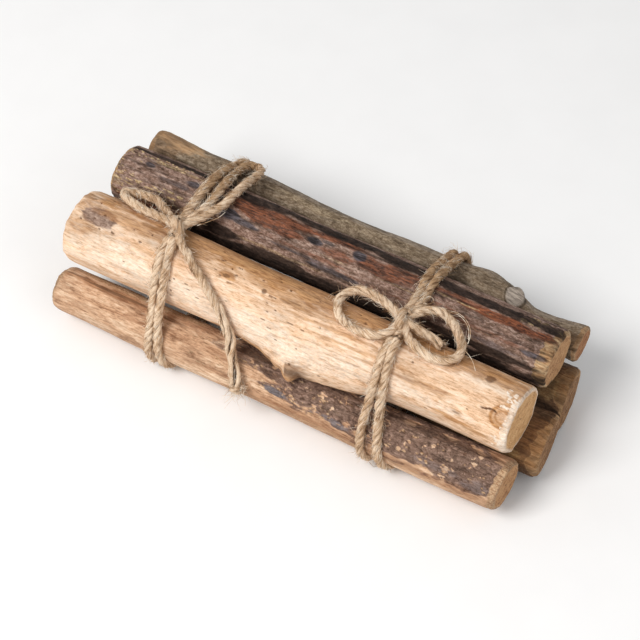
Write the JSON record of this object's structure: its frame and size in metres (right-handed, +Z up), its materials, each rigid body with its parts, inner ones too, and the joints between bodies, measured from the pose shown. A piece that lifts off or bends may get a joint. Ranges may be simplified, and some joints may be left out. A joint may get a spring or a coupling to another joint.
{
  "type": "bundle of twigs",
  "caption": "Bundle of short sawn sticks, peeled and in bark, laid side by side and tied at both ends with jute twine and small bows.",
  "frame": {"origin": "middle of the bundle's underside, on the surface that it lies on", "axes": "+X along the sticks towards the end where the forked stick shows its two lobes, +Y towards the thin grey stick, +Z up"},
  "size_m": [0.1848, 0.0852, 0.0532],
  "materials": {
    "half_peeled_wood": "matte, tan peeled wood with mottled purple-brown bark left on the upper side",
    "peeled_wood": "matte, cream debarked wood with fine grain, pits and brown streaks",
    "dark_bark": "matte, dark purple-brown bark with rust and blue-grey patches and pale lenticels",
    "grey_bark": "matte, smooth weathered grey-brown bark",
    "brown_bark": "matte, brown bark over tan wood",
    "jute_twine": "matte, hairy laid jute"
  },
  "bodies": {
    "root": {"front_lower_stick": "half_peeled_wood", "pale_stick": "peeled_wood", "dark_bark_stick": "dark_bark", "grey_stick": "grey_bark", "forked_stick": "brown_bark", "left_twine_tie": "jute_twine", "right_twine_tie": "jute_twine"}
  },
  "joints": []
}
